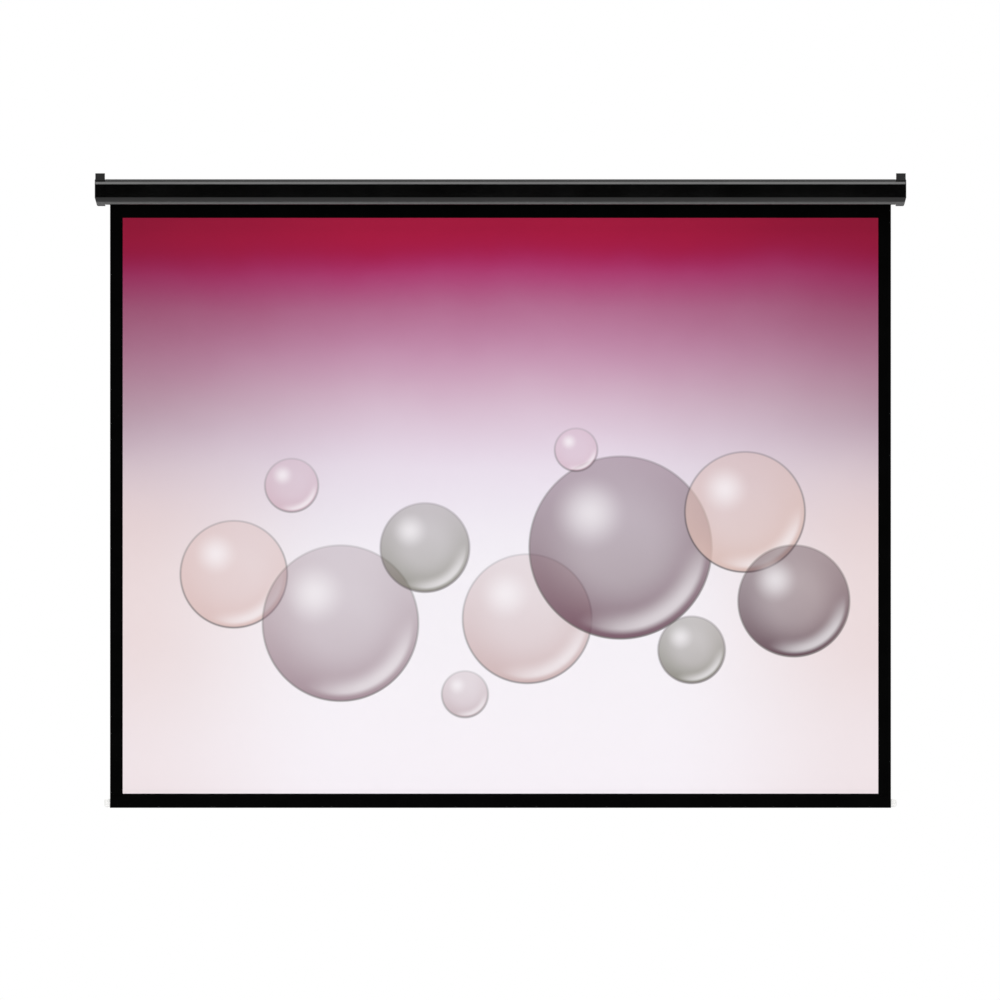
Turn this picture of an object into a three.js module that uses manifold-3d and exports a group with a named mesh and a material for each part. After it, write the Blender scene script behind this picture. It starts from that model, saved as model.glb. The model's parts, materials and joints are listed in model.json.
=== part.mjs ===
// A wall-hung, spring-rolled, pull-down projection screen, fully drawn. All sizes are in millimetres.
// X runs along the case and Z is up. The wall is the plane y = 0 and the screen faces -Y.
// The origin is on the wall plane, level with the roller's axis and midway along it.
import * as THREE from 'three';
import { mergeVertices } from 'three/addons/utils/BufferGeometryUtils.js';
import Module from 'manifold-3d';

const wasm = await Module();
wasm.setup();

// Clearances and drawing accuracy
const fit = 0.3; // gap between pieces that seat in or on each other
const overrun = 2; // how far a cutting tool runs past what it cuts
const arcSteps = 4; // straight steps in a rounded corner
const roundSides = 28; // sides of a large round piece
const smallSides = 12; // sides of a screw, pin or small hole
const weldDistance = 0.0005; // vertices closer than this are one vertex
const sharpest = 0.05; // the least radius left on a corner that is moved inwards

// Projection fabric: a white ply on a black ply, with a black mask bonded round the picture
const pictureWidth = 1700;
const pictureHeight = 1295.5;
const sideBorder = 28.5;
const topBorder = 29.6;
const hemHeight = 32;
const whitePly = 0.22;
const blackPly = 0.12;
const maskPly = 0.08;
const bondLine = 0.02;
const restWraps = 1.75; // turns of fabric left on the roller when the screen is fully drawn
const wrapGap = 0.08; // air between one turn and the next
const wrapStepsPerTurn = 24;

// Roller tube and what closes its ends
const rollerRadius = 16.5;
const rollerWall = 0.9;
const rollerOverhang = 3.5; // tube past each edge of the fabric
const plugFlangeRadius = 20;
const plugFlange = 4.5;
const plugLength = 34;

// Case extrusion, with its hexagonal front, its fabric slot and four screw ports
const caseWall = 1.4;
const caseOverhang = 10.3; // case past each edge of the fabric
const rollTopClearance = 4.5; // air between the full roll and the walls round it
const rollFrontClearance = 2.8;
const rollRearClearance = 8.9;
const upperBevelHeight = 11.3;
const upperBevelDepth = 12;
const upperRidgeHeight = 5.5;
const upperRidgeDepth = 3.5;
const lowerBevelHeight = 16.1;
const lowerBevelDepth = 9.4;
const lowerRidgeHeight = 8;
const lowerRidgeDepth = 3;
const rearBevel = 8;
const frontEdgeRadius = 1;
const bevelRadius = 2.5;
const lowerEdgeRadius = 5; // front face into the lower ridge
const lowerBellyRadius = 20; // lower ridge into the lower bevel
const lowerFootRadius = 4; // lower bevel into the bottom
const slotWidth = 10;
const lipHeight = 4;
const portRadius = 3.1;
const portBore = 1.8;
const portSlit = 1.4;
const portBite = 0.6; // how far a port's ring runs into the wall that carries it

// Moulded end caps
const capLength = 24.2;
const capWall = 2.4;
const capRound = 2;
const capFootDrop = 3.2; // the cap's foot hangs this far below the case
const capToeInset = 5.5; // the lower end slants inwards by this much
const capToeRadius = 4;
const capHeelRadius = 8;
const spigotLength = 9;
const spigotWall = 1.8;
const bossRadius = 13;
const bossDepth = 10;
const ribThickness = 2;
const ribDepth = 7;
const screwBossRadius = 4.3;
const screwSeatDepth = 7; // the cap screws' heads sit this far inside the end face

// Fasteners
const capScrewRadius = 1.5;
const capScrewHeadRadius = 3.1;
const capScrewHeadHeight = 2.2;
const capScrewGrip = 12; // length of a cap screw inside its port
const hangerScrewRadius = 1.7;
const hangerScrewHeadRadius = 3.4;
const hangerScrewHeadHeight = 1.7;
const hangerScrewLength = 9;

// Hangers: one bent steel strap on each end cap
const hangerWidth = 21.6;
const hangerEndInset = 1.3; // strap's edge to the cap's end face
const hangerSteel = 2;
const hangerBend = 1.2;
const hangerRise = 13.5; // top of the strap above the case
const hangerFrontInset = 6.5; // strap's front behind the case's front face
const hangerSink = 3.4; // the strap's foot lies in a notch this far below the top of the cap
const hangerFootLength = 15.5;
const hangerTailDrop = 24; // bottom of the rear flange below the top of the case
const hangerTailScrewRise = 7; // rear screw above the flange's end
const hangerBossRadius = 4;
const hangerBossDepth = 8;
const keyholeEntryRadius = 5;
const keyholeNeckRadius = 2.6;
const keyholeTopMargin = 1.6;
const keyholeDrop = 5.4; // entry hole's centre below the neck's
const ceilingHoleRadius = 3.5;
const ceilingHoleSetback = 26; // hole's centre from the wall

// Locking head at the left end: fixed spear, ratchet, two pawls and the torsion spring
const spearFlats = 8; // across the flats of the hexagonal bar
const spearLength = 250; // from the shoulder to the far end
const shoulderRadius = 6.5;
const shoulderLength = 3;
const neckRadius = 5;
const tongueThickness = 4;
const tongueWidth = 9;
const tongueLength = 8;
const ratchetTipRadius = 9;
const ratchetRootRadius = 6;
const ratchetWidth = 4;
const ratchetNotches = 4;
const ratchetStepAngle = 112; // degrees, to the first notch's stop face
const ratchetGap = 0.8; // ratchet's face to the head plug's flange
const pawlPivotRadius = 14.5;
const pawlPivotAngle = 65; // degrees, from the direction of the wall
const pawlNoseAngle = 105;
const pawlLift = 0.4; // nose clear of the ratchet's tips when lifted
const pawlNoseRadius = 0.9;
const pawlEyeRadius = 3.2;
const pawlThickness = 3;
const postRadius = 1.5;
const postHeadroom = 0.8; // post past the pawl's outer face
const bushWall = 2.9;
const collarLength = 18;
const collarFlange = 4;
const collarHubRadius = 9.5;
const springRadius = 12;
const springWire = 1.6;
const springTurns = 24;
const spearTail = 4.6; // spear past the spring's plug
const springStepsPerTurn = 8;
const springSides = 5;
const springTang = 3.2; // straight end of the wire inside its anchor hole
const springPlugLength = 18;

// Idler at the right end
const idlerPinRadius = 4;
const idlerHubRadius = 8.5;
const idlerBushWall = 4;
const idlerBushFlange = 1.5;
const idlerBushFlangeWidth = 2.2;
const idlerBushDepth = 8;
const idlerPlay = 0.5; // end play between the hub and the bush
const washerWidth = 3.5;
const washerThickness = 1;

// Bottom bar in the hem and its end caps
const barDepth = 9.5;
const barHeight = 20;
const barWall = 1;
const barCapLength = 12.6;
const barCapLip = 1; // how much smaller the cap's head is than the bar, all round
const barCapToeRadius = 6;
const barCapEdgeRadius = 1.5;
const barCapSpigot = 22;
const hemWeldHeight = 4;
const hemShoulder = 4; // height over which the hem opens round the bar

// Sizes that follow from those above
const fabricThickness = maskPly + whitePly + blackPly + 2 * bondLine;
const fabricWidth = pictureWidth + 2 * sideBorder;
const fabricHalf = fabricWidth / 2;
const wrapPitch = fabricThickness + wrapGap;
const firstWrapRadius = rollerRadius + fit + fabricThickness / 2;
const lastWrapRadius = firstWrapRadius + restWraps * wrapPitch;
const drawnLength = topBorder + pictureHeight;
const fullRollRadius = Math.sqrt(lastWrapRadius ** 2 + (drawnLength * fabricThickness) / Math.PI);
const caseTop = fullRollRadius + rollTopClearance + caseWall;
const caseBottom = -caseTop;
const rollerSetback = fullRollRadius + rollRearClearance + caseWall;
const caseDepth = rollerSetback + fullRollRadius + rollFrontClearance + caseWall;
const caseHalf = fabricHalf + caseOverhang;
const rollerHalf = fabricHalf + rollerOverhang;
const axisY = -rollerSetback;
const sheetY = axisY + lastWrapRadius; // the middle of the hanging fabric's thickness
const pictureTop = caseBottom - topBorder;
const hemTop = pictureTop - pictureHeight;
const hemBottom = hemTop - hemHeight;
const degree = Math.PI / 180;

// Colours and finishes
const blackPaint = { color: 0x050505, roughness: 0.35, metalness: 0.4 };
const blackPlastic = { color: 0x0a0a0a, roughness: 0.5, metalness: 0 };
const greyStrap = { color: 0x2c2c2c, roughness: 0.6, metalness: 0.4 };
const blackCloth = { color: 0x060606, roughness: 0.95, metalness: 0 };
const whiteCloth = { color: 0xf2f0f1, roughness: 0.9, metalness: 0 };
const whitePlastic = { color: 0xe9e9e6, roughness: 0.45, metalness: 0 };
const zincSteel = { color: 0xb4b7ba, roughness: 0.35, metalness: 0.9 };
const springSteel = { color: 0x55585c, roughness: 0.4, metalness: 0.9 };
const nylon = { color: 0xdcd8cc, roughness: 0.5, metalness: 0 };
const millAluminium = { color: 0xc3c5c7, roughness: 0.4, metalness: 0.9 };

// Geometry to solid and back, and the three ways of combining solids
function toSolid(geometry) {
  const loose = geometry.index ? geometry.toNonIndexed() : geometry;
  const bare = new THREE.BufferGeometry().setAttribute('position', loose.getAttribute('position'));
  const merged = mergeVertices(bare, weldDistance);
  return new wasm.Manifold(
    new wasm.Mesh({
      numProp: 3,
      vertProperties: merged.attributes.position.array,
      triVerts: new Uint32Array(merged.index.array),
    }),
  );
}

function toGeometry(solid) {
  const mesh = solid.getMesh();
  const geometry = new THREE.BufferGeometry();
  geometry.setAttribute('position', new THREE.BufferAttribute(new Float32Array(mesh.vertProperties), 3));
  geometry.setIndex(new THREE.BufferAttribute(new Uint32Array(mesh.triVerts), 1));
  geometry.computeVertexNormals();
  return geometry;
}

function join(first, ...others) {
  return toGeometry(others.reduce((sum, next) => sum.add(toSolid(next)), toSolid(first)));
}

function cut(body, ...tools) {
  return toGeometry(tools.reduce((rest, tool) => rest.subtract(toSolid(tool)), toSolid(body)));
}

function common(first, second) {
  return toGeometry(toSolid(first).intersect(toSolid(second)));
}

// Outlines: corners are [u, v, radius], counterclockwise
function roundedPoints(corners) {
  const points = [];
  corners.forEach(([u, v, radius = 0], i) => {
    const corner = new THREE.Vector2(u, v);
    const [beforeU, beforeV] = corners[(i + corners.length - 1) % corners.length];
    const [afterU, afterV] = corners[(i + 1) % corners.length];
    const back = new THREE.Vector2(beforeU, beforeV).sub(corner).normalize();
    const ahead = new THREE.Vector2(afterU, afterV).sub(corner).normalize();
    if (radius === 0) {
      points.push(corner);
      return;
    }
    const half = Math.acos(THREE.MathUtils.clamp(back.dot(ahead), -1, 1)) / 2;
    const middle = back.clone().add(ahead).normalize();
    const centre = corner.clone().addScaledVector(middle, radius / Math.sin(half));
    const start = corner.clone().addScaledVector(back, radius / Math.tan(half)).sub(centre);
    const end = corner.clone().addScaledVector(ahead, radius / Math.tan(half)).sub(centre);
    const turn = Math.atan2(start.cross(end), start.dot(end));
    for (let step = 0; step <= arcSteps; step++) {
      points.push(start.clone().rotateAround(new THREE.Vector2(), (turn * step) / arcSteps).add(centre));
    }
  });
  return points;
}

function outline(corners) {
  return new THREE.Shape(roundedPoints(corners));
}

// The same corners with every edge moved inwards by a distance
function inset(corners, distance) {
  const edges = corners.map(([u, v], i) => {
    const [nextU, nextV] = corners[(i + 1) % corners.length];
    const along = new THREE.Vector2(nextU - u, nextV - v).normalize();
    const inward = new THREE.Vector2(-along.y, along.x);
    return { from: new THREE.Vector2(u, v).addScaledVector(inward, distance), along };
  });
  return corners.map(([, , radius = 0], i) => {
    const before = edges[(i + edges.length - 1) % edges.length];
    const edge = edges[i];
    const reach = edge.from.clone().sub(before.from).cross(edge.along) / before.along.cross(edge.along);
    const corner = before.from.clone().addScaledVector(before.along, reach);
    return [corner.x, corner.y, radius === 0 ? 0 : Math.max(radius - distance, sharpest)];
  });
}

function rectangle(u0, u1, v0, v1, radius = 0) {
  return [
    [u0, v0, radius],
    [u1, v0, radius],
    [u1, v1, radius],
    [u0, v1, radius],
  ];
}

function circlePath(u, v, radius, sides) {
  const points = [];
  for (let side = 0; side < sides; side++) {
    const angle = (2 * Math.PI * side) / sides;
    points.push(new THREE.Vector2(u + radius * Math.cos(angle), v + radius * Math.sin(angle)));
  }
  return new THREE.Path(points);
}

// Extrusions: a shape drawn in (y, z) along X, in (x, z) along Y, or in (x, y) along Z
function alongX(shape, from, to) {
  const geometry = new THREE.ExtrudeGeometry(shape, { depth: to - from, bevelEnabled: false });
  const turn = new THREE.Matrix4().makeBasis(
    new THREE.Vector3(0, 1, 0),
    new THREE.Vector3(0, 0, 1),
    new THREE.Vector3(1, 0, 0),
  );
  return geometry.applyMatrix4(turn).translate(from, 0, 0);
}

function alongY(shape, from, to) {
  const geometry = new THREE.ExtrudeGeometry(shape, { depth: to - from, bevelEnabled: false });
  return geometry.rotateX(Math.PI / 2).translate(0, to, 0);
}

function alongZ(shape, from, to) {
  return new THREE.ExtrudeGeometry(shape, { depth: to - from, bevelEnabled: false }).translate(0, 0, from);
}

function block(x0, x1, y0, y1, z0, z1) {
  return alongX(outline(rectangle(y0, y1, z0, z1)), x0, x1);
}

// A rod along X round the point (y, z)
function rodX(radius, x0, x1, y, z, sides = smallSides) {
  const rod = new THREE.CylinderGeometry(radius, radius, x1 - x0, sides);
  return rod.rotateZ(-Math.PI / 2).translate((x0 + x1) / 2, y, z);
}

function rodY(radius, y0, y1, x, z) {
  return new THREE.CylinderGeometry(radius, radius, y1 - y0, smallSides).translate(x, (y0 + y1) / 2, z);
}

function rodZ(radius, z0, z1, x, y) {
  const rod = new THREE.CylinderGeometry(radius, radius, z1 - z0, smallSides);
  return rod.rotateX(Math.PI / 2).translate(x, y, (z0 + z1) / 2);
}

// A round piece turned about X, from [x, radius] pairs given in order of growing x
function turnedX(profile, sides = roundSides) {
  const points = profile.map(([x, radius]) => new THREE.Vector2(radius, x));
  return new THREE.LatheGeometry(points, sides).rotateZ(-Math.PI / 2);
}

// A closed skin through outlines of equally many points, each at its own x
function loftX(sections) {
  const count = sections[0].points.length;
  const positions = [];
  const at = (section, i) => {
    const point = sections[section].points[i % count];
    return [sections[section].x, point.x, point.y];
  };
  for (let section = 0; section + 1 < sections.length; section++) {
    for (let i = 0; i < count; i++) {
      positions.push(...at(section, i), ...at(section, i + 1), ...at(section + 1, i + 1));
      positions.push(...at(section, i), ...at(section + 1, i + 1), ...at(section + 1, i));
    }
  }
  const last = sections.length - 1;
  for (const [a, b, c] of THREE.ShapeUtils.triangulateShape(sections[last].points, [])) {
    positions.push(...at(last, a), ...at(last, b), ...at(last, c));
  }
  for (const [a, b, c] of THREE.ShapeUtils.triangulateShape(sections[0].points, [])) {
    positions.push(...at(0, a), ...at(0, c), ...at(0, b));
  }
  return new THREE.BufferGeometry().setAttribute('position', new THREE.Float32BufferAttribute(positions, 3));
}

// A wire of round section along a line of points, its frame carried along without twist
function wireAlong(points, radius, sides) {
  const tangents = points.map((point, i) => {
    const before = points[Math.max(i - 1, 0)];
    const after = points[Math.min(i + 1, points.length - 1)];
    return after.clone().sub(before).normalize();
  });
  const normal = new THREE.Vector3(0, 0, 1).cross(tangents[0]).normalize();
  const rings = points.map((point, i) => {
    normal.addScaledVector(tangents[i], -normal.dot(tangents[i])).normalize();
    const side = tangents[i].clone().cross(normal);
    return Array.from({ length: sides }, (_, k) => {
      const angle = (2 * Math.PI * k) / sides;
      const out = normal.clone().multiplyScalar(radius * Math.cos(angle));
      return point.clone().add(out).addScaledVector(side, radius * Math.sin(angle));
    });
  });
  const positions = [];
  const face = (...corners) => corners.forEach((corner) => positions.push(...corner.toArray()));
  for (let i = 0; i + 1 < rings.length; i++) {
    for (let k = 0; k < sides; k++) {
      const next = (k + 1) % sides;
      face(rings[i][k], rings[i][next], rings[i + 1][next]);
      face(rings[i][k], rings[i + 1][next], rings[i + 1][k]);
    }
  }
  const first = rings[0];
  const last = rings[rings.length - 1];
  for (let k = 1; k + 1 < sides; k++) {
    face(first[0], first[k + 1], first[k]);
    face(last[0], last[k], last[k + 1]);
  }
  return new THREE.BufferGeometry().setAttribute('position', new THREE.Float32BufferAttribute(positions, 3));
}

function polar(radius, degrees) {
  return new THREE.Vector2(radius * Math.cos(degrees * degree), radius * Math.sin(degrees * degree));
}

// The case's outer corners in (y, z); drop carries the lower bevel on below the case, as on the end caps
function caseCorners(drop = 0) {
  const front = -caseDepth;
  const bottom = caseBottom - drop;
  const lowerSlope = (lowerBevelDepth - lowerRidgeDepth) / lowerRidgeHeight;
  return [
    [front, caseBottom + lowerBevelHeight, lowerEdgeRadius],
    [front + lowerRidgeDepth, caseBottom + lowerRidgeHeight, lowerBellyRadius],
    [front + lowerBevelDepth + drop * lowerSlope, bottom, lowerFootRadius],
    [-rearBevel, bottom, bevelRadius],
    [0, caseBottom + rearBevel, bevelRadius],
    [0, caseTop - rearBevel, bevelRadius],
    [-rearBevel, caseTop, bevelRadius],
    [front + upperBevelDepth, caseTop, bevelRadius],
    [front + upperRidgeDepth, caseTop - upperBevelHeight + upperRidgeHeight, frontEdgeRadius],
    [front, caseTop - upperBevelHeight, frontEdgeRadius],
  ];
}

// The screw ports: three behind the bevels and one behind the front ridge, with the way into the case
function screwPorts() {
  const corners = caseCorners();
  const bevels = [
    [1, 2],
    [3, 4],
    [5, 6],
    [8, 9],
  ];
  return bevels.map(([a, b]) => {
    const start = new THREE.Vector2(corners[a][0], corners[a][1]);
    const end = new THREE.Vector2(corners[b][0], corners[b][1]);
    const along = end.clone().sub(start).normalize();
    const inward = new THREE.Vector2(-along.y, along.x);
    const centre = start.clone().add(end).multiplyScalar(0.5);
    centre.addScaledVector(inward, caseWall + portRadius - portBite);
    return { y: centre.x, z: centre.y, inward };
  });
}

function caseShell() {
  const skin = cut(
    alongX(outline(caseCorners()), -caseHalf, caseHalf),
    alongX(outline(inset(caseCorners(), caseWall)), -caseHalf - overrun, caseHalf + overrun),
  );
  const lipTop = caseBottom + caseWall + lipHeight;
  const lips = [sheetY - slotWidth / 2 - caseWall, sheetY + slotWidth / 2].map((front) => {
    return block(-caseHalf, caseHalf, front, front + caseWall, caseBottom + caseWall / 2, lipTop);
  });
  const rings = screwPorts().map(({ y, z }) => rodX(portRadius, -caseHalf, caseHalf, y, z));
  const bores = screwPorts().map(({ y, z }) => {
    return rodX(portBore, -caseHalf - overrun, caseHalf + overrun, y, z);
  });
  const slits = screwPorts().map(({ y, z, inward }) => {
    const depth = portRadius + overrun;
    const slit = block(-caseHalf - overrun, caseHalf + overrun, 0, depth, -portSlit / 2, portSlit / 2);
    return slit.rotateX(inward.angle()).translate(0, y, z);
  });
  const slot = block(
    -caseHalf - overrun,
    caseHalf + overrun,
    sheetY - slotWidth / 2,
    sheetY + slotWidth / 2,
    caseBottom - overrun,
    caseBottom + caseWall + overrun,
  );
  return cut(join(skin, ...lips, ...rings), ...bores, ...slits, slot);
}

// Hanger sizes shared by the strap, the cap that carries it and their screws, in the end frame
const hangerOuter = capLength - hangerEndInset;
const hangerInner = hangerOuter - hangerWidth;
const hangerMiddle = (hangerInner + hangerOuter) / 2;
const hangerFront = -caseDepth + hangerFrontInset;
const hangerTop = caseTop + hangerRise;
const hangerSeat = caseTop - hangerSink; // underside of the strap's foot
const hangerTail = caseTop - hangerTailDrop;
const hangerFootEnd = hangerFront + hangerFootLength;
const footScrewY = (hangerFront + hangerSteel + hangerFootEnd) / 2;
const tailScrewZ = hangerTail + hangerTailScrewRise;
const socketFace = capLength - capWall - bossDepth; // inner face of the cap's bearing boss

// An end cap is drawn in the end frame: x = 0 is the end of the case and x grows outwards
const endWallFace = capLength - capWall;
const capRoot = capWall / 2; // how far bosses and ribs run into the walls that carry them
const spigotRoot = fit + spigotWall; // outer end of the ring that carries the spigot

// The cap from the front: its lower end slants inwards
function capFrontCorners() {
  const inner = -spigotLength - overrun - capWall;
  return [
    [inner, caseBottom - capFootDrop],
    [capLength - capToeInset, caseBottom - capFootDrop, capToeRadius],
    [capLength, caseBottom + lowerBevelHeight, capHeelRadius],
    [capLength, caseTop + capWall],
    [inner, caseTop + capWall],
  ];
}

function capBlank() {
  const flush = roundedPoints(caseCorners(capFootDrop));
  const rounding = Array.from({ length: arcSteps }, (_, step) => {
    const angle = ((step + 1) / arcSteps) * (Math.PI / 2);
    return {
      x: capLength - capRound + capRound * Math.sin(angle),
      points: roundedPoints(inset(caseCorners(capFootDrop), capRound * (1 - Math.cos(angle)))),
    };
  });
  const straight = [fit, capLength - capRound].map((x) => ({ x, points: flush }));
  const moulding = loftX([...straight, ...rounding]);
  return common(moulding, alongY(outline(capFrontCorners()), -caseDepth - overrun, overrun));
}

function capHollow() {
  const behindRing = common(
    alongX(outline(inset(caseCorners(capFootDrop), capWall)), spigotRoot, endWallFace),
    alongY(outline(inset(capFrontCorners(), capWall)), -caseDepth, 0),
  );
  const throughSpigot = outline(inset(caseCorners(), caseWall + fit + spigotWall));
  return join(behindRing, alongX(throughSpigot, -spigotLength - overrun, spigotRoot + capRoot));
}

function capSpigot(hollow) {
  return cut(
    alongX(outline(inset(caseCorners(), caseWall + fit)), -spigotLength, spigotRoot),
    hollow,
    block(
      -spigotLength - overrun,
      0,
      sheetY - slotWidth / 2 - caseWall - fit,
      0,
      caseBottom,
      caseBottom + caseWall + lipHeight + fit,
    ),
    ...screwPorts().map(({ y, z }) => rodX(portRadius + fit, -spigotLength - overrun, 0, y, z)),
  );
}

// Bearing boss, ribs, screw bosses, and the pads behind the hanger's foot and rear flange
function capFittings() {
  const outerEnd = endWallFace + capRoot;
  const ribFace = endWallFace - ribDepth;
  const halfRib = ribThickness / 2;
  return [
    rodX(bossRadius, socketFace, outerEnd, axisY, 0, roundSides),
    block(ribFace, outerEnd, -caseDepth, 0, -halfRib, halfRib),
    block(ribFace, outerEnd, axisY - halfRib, axisY + halfRib, caseBottom - capFootDrop, caseTop),
    ...screwPorts().map(({ y, z }) => rodX(screwBossRadius, fit, outerEnd, y, z)),
    block(fit, outerEnd, -hangerSteel - fit - capWall, 0, hangerTail - fit - capWall, caseTop),
    rodY(hangerBossRadius, -hangerSteel - fit - hangerBossDepth, 0, hangerMiddle, tailScrewZ),
    block(fit, outerEnd, -caseDepth, hangerFootEnd + fit + capWall, hangerSeat - fit - capWall, caseTop),
    rodZ(hangerBossRadius, hangerSeat - hangerBossDepth, caseTop, hangerMiddle, footScrewY),
  ];
}

function capScrewHoles() {
  return screwPorts().flatMap(({ y, z }) => [
    rodX(capScrewRadius + fit, -overrun, capLength + overrun, y, z),
    rodX(capScrewHeadRadius + fit, capLength - screwSeatDepth, capLength + overrun, y, z),
  ]);
}

// The recess of the strap's rear flange, the notch of its foot and the holes of its two screws
function hangerSeats() {
  const inner = hangerInner - fit;
  const outer = hangerOuter + fit;
  const footHoleEnd = hangerSeat + hangerSteel - hangerScrewLength - fit;
  return [
    block(inner, outer, -hangerSteel - fit, overrun, hangerTail - fit, caseTop + overrun),
    block(inner, outer, -caseDepth, hangerFootEnd + fit, hangerSeat - fit, caseTop + overrun),
    rodY(hangerScrewRadius + fit, -hangerScrewLength - fit, overrun, hangerMiddle, tailScrewZ),
    rodZ(hangerScrewRadius + fit, footHoleEnd, caseTop + overrun, hangerMiddle, footScrewY),
  ];
}

function endCap(socket) {
  const blank = capBlank();
  const hollow = capHollow();
  const fittings = capFittings().map((fitting) => common(fitting, blank));
  const moulding = join(cut(blank, hollow), capSpigot(hollow), ...fittings);
  return cut(moulding, socket, ...capScrewHoles(), ...hangerSeats());
}

// The flat slot that holds the spear's tongue, and the round seat for the idler's bush
function tongueSlot() {
  return block(
    socketFace - overrun,
    socketFace + tongueLength + fit,
    axisY - tongueThickness / 2 - fit,
    axisY + tongueThickness / 2 + fit,
    -tongueWidth / 2 - fit,
    tongueWidth / 2 + fit,
  );
}

function bushSeat() {
  const radius = idlerPinRadius + fit + idlerBushWall + fit;
  return rodX(radius, socketFace - overrun, socketFace + idlerBushDepth + fit, axisY, 0, roundSides);
}

// The hanger strap: foot on the cap, front web, ceiling flange and wall flange, bent from one length of steel
function hanger() {
  const inner = Math.max(hangerBend - hangerSteel, sharpest);
  const flange = hangerTop - hangerSteel;
  const footTop = hangerSeat + hangerSteel;
  const strap = outline([
    [hangerFront, hangerSeat, hangerBend],
    [hangerFootEnd, hangerSeat],
    [hangerFootEnd, footTop],
    [hangerFront + hangerSteel, footTop, inner],
    [hangerFront + hangerSteel, flange, inner],
    [-hangerSteel, flange, inner],
    [-hangerSteel, hangerTail],
    [0, hangerTail],
    [0, hangerTop, hangerBend],
    [hangerFront, hangerTop, hangerBend],
  ]);
  const neckZ = flange - keyholeTopMargin - keyholeNeckRadius;
  const entryZ = neckZ - keyholeDrop;
  const neck = block(
    hangerMiddle - keyholeNeckRadius,
    hangerMiddle + keyholeNeckRadius,
    -hangerSteel - overrun,
    overrun,
    entryZ,
    neckZ,
  );
  return cut(
    alongX(strap, hangerInner, hangerOuter),
    rodY(keyholeEntryRadius, -hangerSteel - overrun, overrun, hangerMiddle, entryZ),
    rodY(keyholeNeckRadius, -hangerSteel - overrun, overrun, hangerMiddle, neckZ),
    neck,
    rodZ(ceilingHoleRadius, flange - overrun, hangerTop + overrun, hangerMiddle, -ceilingHoleSetback),
    rodZ(hangerScrewRadius + fit, hangerSeat - overrun, footTop + overrun, hangerMiddle, footScrewY),
    countersink(
      hangerScrewRadius + fit,
      hangerScrewHeadRadius + fit,
      hangerScrewHeadHeight,
      hangerSteel + overrun,
      overrun,
    )
      .rotateZ(Math.PI / 2)
      .translate(hangerMiddle, 0, tailScrewZ),
  );
}

// A countersunk screw with its flat head at x = 0 and its shank towards -X; as a hole it runs on above
function countersink(shank, head, headHeight, length, above = 0) {
  const profile = [
    [-length, 0],
    [-length, shank],
    [-headHeight, shank],
    [0, head],
  ];
  if (above > 0) {
    profile.push([above, head]);
  }
  return turnedX([...profile, [above, 0]], smallSides);
}

// A pan-head screw with the underside of its head at x = 0 and its shank towards -X
function panScrew(shank, head, headHeight, length) {
  const crown = headHeight / 2;
  return turnedX(
    [
      [-length, 0],
      [-length, shank],
      [0, shank],
      [0, head],
      [crown, head],
      [headHeight, head - crown],
      [headHeight, 0],
    ],
    smallSides,
  );
}

// Locking head, in the end frame but round the roller's axis
const tubeEnd = rollerHalf - caseHalf; // the roller tube's end, inside the case
const flangeFace = tubeEnd + plugFlange;
const ratchetInner = flangeFace + ratchetGap;
const ratchetOuter = ratchetInner + ratchetWidth;
const pawlInner = (ratchetInner + ratchetOuter - pawlThickness) / 2;
const pawlOuter = pawlInner + pawlThickness;
const shoulderInner = ratchetOuter + fit;
const spearCorner = spearFlats / 2 / Math.cos(Math.PI / 6); // across the corners, halved
const tubeBore = rollerRadius - rollerWall;
const bushRadius = spearCorner + fit + bushWall;
const plugInner = tubeEnd - plugLength;
const collarOuterFace = plugInner - fit;
const collarInnerFace = collarOuterFace - collarLength;
const springStart = collarOuterFace - collarFlange - fit;
const springPlugFace = shoulderInner - spearLength + spearTail + springPlugLength;
const springLength = springStart - 2 * springTang - springPlugFace;
const springTangHole = springWire / 2 + fit;

function hexagonX(flats, x0, x1) {
  return rodX(flats / 2 / Math.cos(Math.PI / 6), x0, x1, 0, 0, 6);
}

function spearShaft() {
  const tongue = block(
    socketFace - fit,
    socketFace + tongueLength,
    -tongueThickness / 2,
    tongueThickness / 2,
    -tongueWidth / 2,
    tongueWidth / 2,
  );
  return join(
    hexagonX(spearFlats, shoulderInner - spearLength, shoulderInner + shoulderLength / 2),
    rodX(shoulderRadius, shoulderInner, shoulderInner + shoulderLength, 0, 0, roundSides),
    rodX(neckRadius, shoulderInner + shoulderLength / 2, socketFace - fit, 0, 0, roundSides),
    tongue,
  );
}

// The ratchet: each notch falls away slowly and ends at a radial stop face
function ratchetWheel() {
  const pitch = 360 / ratchetNotches;
  const landShare = 0.35; // of each pitch at the tip radius
  const points = [];
  for (let notch = 0; notch < ratchetNotches; notch++) {
    const from = ratchetStepAngle + notch * pitch;
    for (let step = 0; step <= arcSteps; step++) {
      points.push(polar(ratchetTipRadius, from + (pitch * landShare * step) / arcSteps));
    }
    for (let step = 1; step <= arcSteps; step++) {
      const share = step / arcSteps;
      const radius = THREE.MathUtils.lerp(ratchetTipRadius, ratchetRootRadius, share);
      points.push(polar(radius, from + pitch * (landShare + (1 - landShare) * share)));
    }
  }
  return cut(
    alongX(new THREE.Shape(points), ratchetInner, ratchetOuter),
    hexagonX(spearFlats + 2 * fit, ratchetInner - overrun, ratchetOuter + overrun),
  );
}

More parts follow.
